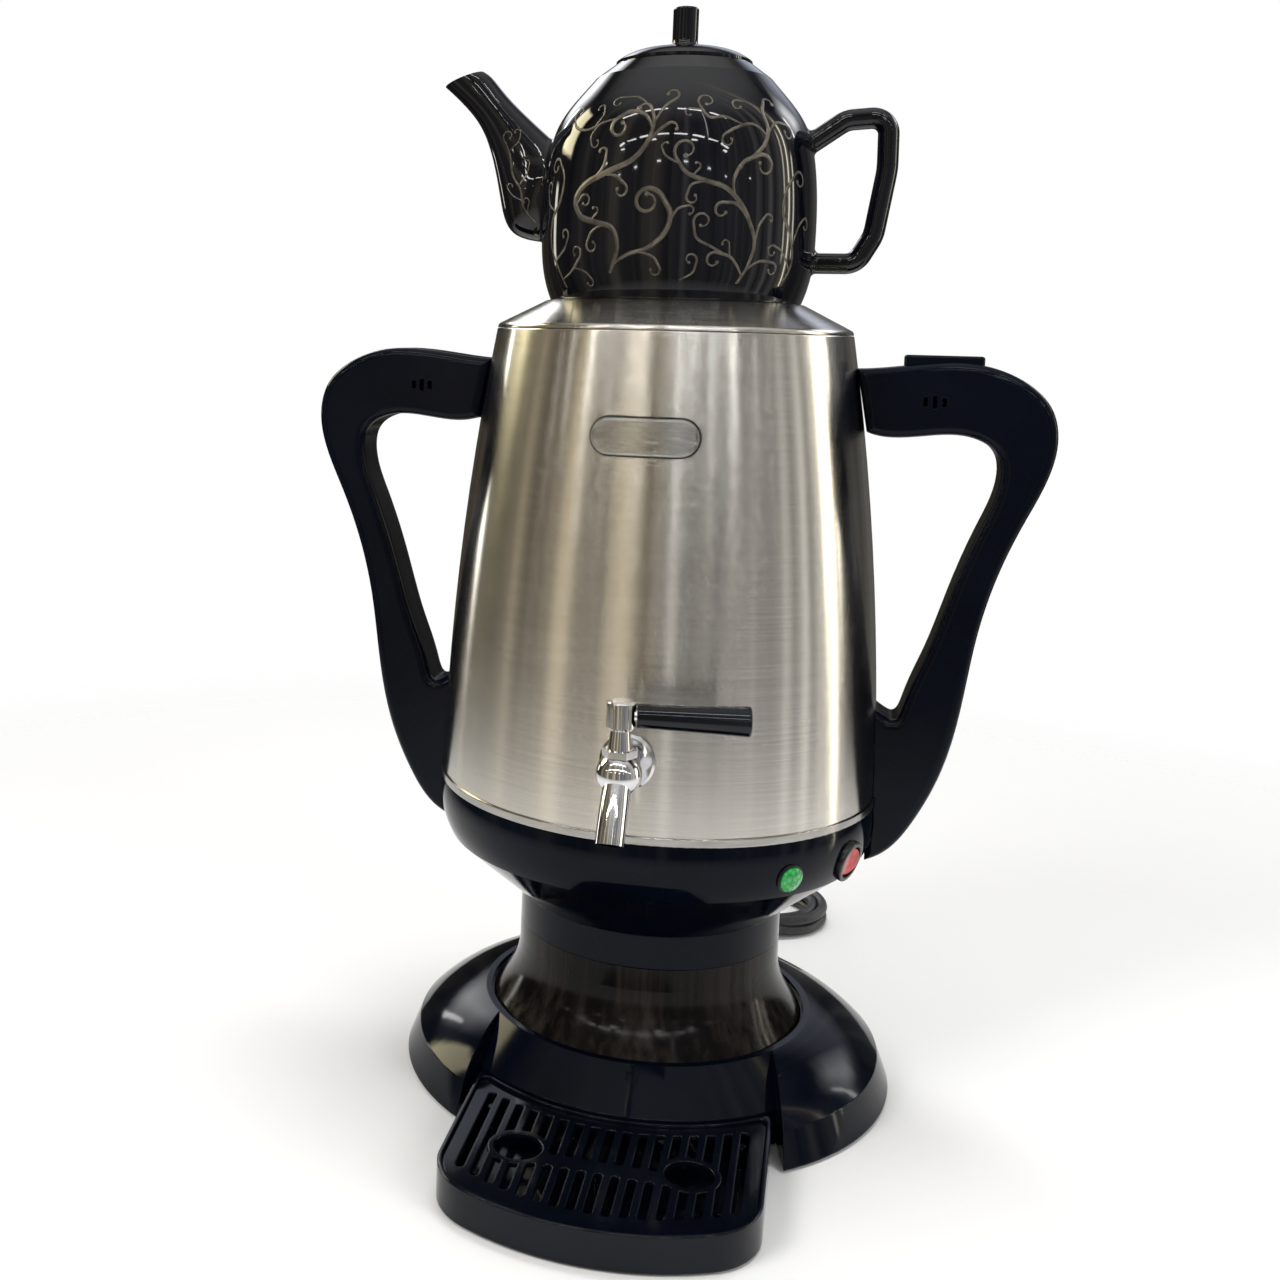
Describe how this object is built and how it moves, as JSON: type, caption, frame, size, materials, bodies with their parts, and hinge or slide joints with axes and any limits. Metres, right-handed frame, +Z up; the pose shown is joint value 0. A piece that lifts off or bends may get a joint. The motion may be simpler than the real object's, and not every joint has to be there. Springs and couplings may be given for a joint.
{
  "type": "electric samovar",
  "caption": "Footed electric samovar: tapered brushed steel tank with tap, looped side handles, round stand with slotted drip tray, and a black teapot seated on the lid.",
  "frame": {"origin": "centre of the stand on the table", "axes": "+Z up the body's axis, -Y out of the tap and the drip tray, the handles along X"},
  "size_m": [0.3798, 0.4844, 0.5581],
  "materials": {
    "black_shell": "gloss black moulding",
    "smoke": "smoky black, fine upright streaks",
    "jacket": "brushed upright, satin",
    "steel": "satin",
    "bright": "polished",
    "screw": "zinc",
    "spring": "bright",
    "porcelain": "black glazed porcelain with a pale scroll pattern",
    "rubber": "matt",
    "silicone": "translucent white",
    "nickel": "satin silver",
    "lever": "satin black",
    "green": "clear green",
    "red": "clear red",
    "trim": "satin black",
    "cord": "satin black",
    "brass": "plain",
    "ceramic": "cream",
    "floor": "matt black"
  },
  "bodies": {
    "stand": {"base_shell": "black_shell", "base_floor": "floor", "floor_screws": "screw", "rubber_feet": "rubber", "neck_skirt": "smoke", "neck_bolts": "screw", "bowl": "black_shell", "tank_shell": "jacket", "inner_tank": "steel", "trim_band": "bright", "support_ring": "screw", "ledge_screws": "screw", "left_handle_front": "black_shell", "left_handle_rear": "black_shell", "right_handle_front": "black_shell", "right_handle_rear": "black_shell", "handle_screws": "screw", "button_spring": "spring", "tap_rosette": "bright", "tap_body": "bright", "tap_washer": "silicone", "tap_nut": "brass", "heater_plate": "nickel", "heating_element": "screw", "thermostat": "nickel", "thermal_cutout": "ceramic", "terminal_block": "ceramic", "lamp_lens": "green", "lamp_holder": "trim", "switch_housing": "trim", "power_cord": "cord", "cord_tail": "cord", "cord_coil": "cord", "power_plug": "cord", "plug_pins": "brass", "badge": "nickel", "cord_gland": "trim"},
    "lid": {"tank_lid": "steel", "lid_skirt": "steel", "lid_seal": "silicone"},
    "pot": {"teapot": "porcelain"},
    "pot_cover": {"teapot_lid": "porcelain"},
    "tray": {"drip_tray": "black_shell"},
    "grille": {"tray_grille": "black_shell"},
    "tap_plug": {"tap_spindle": "bright", "tap_lever_grip": "lever"},
    "rocker": {"switch_rocker": "red"},
    "button": {"handle_button": "black_shell"}
  },
  "joints": [
    {"name": "lid_lift", "type": "slide", "parent": "stand", "child": "lid", "axis": [0, 0, 1], "range_m": [0, 0.1]},
    {"name": "pot_lift", "type": "slide", "parent": "lid", "child": "pot", "axis": [0, 0, 1], "range_m": [0, 0.15]},
    {"name": "pot_cover_lift", "type": "slide", "parent": "pot", "child": "pot_cover", "axis": [0, 0, 1], "range_m": [0, 0.08]},
    {"name": "tray_pull", "type": "slide", "parent": "stand", "child": "tray", "axis": [0, -1, 0], "range_m": [0, 0.12]},
    {"name": "grille_lift", "type": "slide", "parent": "tray", "child": "grille", "axis": [0, 0, 1], "range_m": [0, 0.05]},
    {"name": "tap_turn", "type": "hinge", "parent": "stand", "child": "tap_plug", "pos_m": [0, -0.14042, 0.19665], "axis": [0, 0, 1], "range_deg": [-90, 0]},
    {"name": "switch_press", "type": "hinge", "parent": "stand", "child": "rocker", "pos_m": [0.10099, -0.04925, 0.13759], "axis": [0.2204, -0.1075, 0.9695], "range_deg": [0, 14]},
    {"name": "button_press", "type": "slide", "parent": "stand", "child": "button", "axis": [0, 0, -1], "range_m": [0, 0.0025], "stiffness_N_per_m": 400, "springref_m": -0.001, "deforming": ["button_spring"]}
  ]
}
